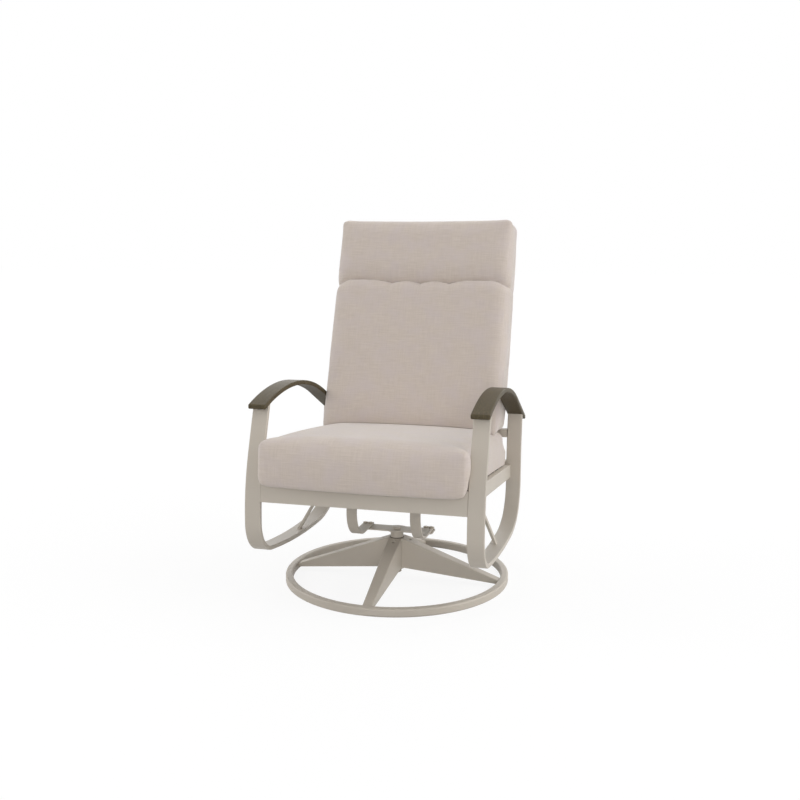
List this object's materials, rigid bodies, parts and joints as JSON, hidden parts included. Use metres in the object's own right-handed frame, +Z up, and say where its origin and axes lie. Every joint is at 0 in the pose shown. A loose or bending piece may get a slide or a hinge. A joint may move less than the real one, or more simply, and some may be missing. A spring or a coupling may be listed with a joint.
{
  "type": "swivel rocking chair",
  "caption": "Outdoor swivel rocking chair: round floor ring with crossed legs, leaf springs, bent side frames, arched arms, deep seat cushion and high back cushion.",
  "frame": {"origin": "on the floor under the middle of the floor ring, on the swivel axis", "axes": "+Z up, the chair faces -Y, +X is to the viewer's right from the front"},
  "size_m": [0.6599, 0.8691, 1.0519],
  "materials": {
    "frame_paint": "satin powder coat, warm taupe",
    "arm_resin": "matte dark brown",
    "steel": "dark plated",
    "rivet_alloy": "plain",
    "dark_plastic": "matte",
    "webbing": "woven elastic webbing",
    "cushion_cloth": "matte woven linen look"
  },
  "bodies": {
    "base": {"base_ring": "frame_paint", "base_leg_front": "frame_paint", "base_leg_right": "frame_paint", "base_leg_back": "frame_paint", "base_leg_left": "frame_paint", "hub_tube": "frame_paint", "upper_bush": "dark_plastic", "lower_bush": "dark_plastic", "thrust_washer": "dark_plastic"},
    "swivel": {"spindle": "frame_paint", "keeper_washer": "steel", "keeper_nut": "steel", "pivot_bolt": "frame_paint", "cross_bar": "frame_paint", "left_leaf_spring": "frame_paint", "right_leaf_spring": "frame_paint", "lower_spring_bolts": "steel", "lower_spring_nuts": "steel"},
    "seat": {"left_side_frame": "frame_paint", "right_side_frame": "frame_paint", "left_arm": "arm_resin", "right_arm": "arm_resin", "arm_end_plugs": "dark_plastic", "arm_studs": "steel", "left_brace": "frame_paint", "right_brace": "frame_paint", "left_seat_rail": "frame_paint", "right_seat_rail": "frame_paint", "front_seat_rail": "frame_paint", "rear_seat_rail": "frame_paint", "spring_mount_rail": "frame_paint", "upper_spring_bolts": "steel", "upper_spring_nuts": "steel", "seat_straps": "webbing", "seat_strap_rivets": "rivet_alloy", "left_back_upright": "frame_paint", "right_back_upright": "frame_paint", "back_top_rail": "frame_paint", "left_back_stub": "frame_paint", "right_back_stub": "frame_paint", "back_straps": "webbing", "back_strap_rivets": "rivet_alloy", "seat_cushion": "cushion_cloth", "back_cushion": "cushion_cloth"}
  },
  "joints": [
    {"name": "swivel", "type": "hinge", "parent": "base", "child": "swivel", "pos_m": [0, 0, 0.08], "axis": [0, 0, 1], "continuous": true},
    {"name": "rock", "type": "hinge", "parent": "swivel", "child": "seat", "pos_m": [0, -0.1, 0.2295], "axis": [-1, 0, 0], "range_deg": [-8, 12], "stiffness_Nm_per_rad": 650, "springref_deg": -7.18, "deforming": ["left_leaf_spring", "right_leaf_spring"]}
  ]
}
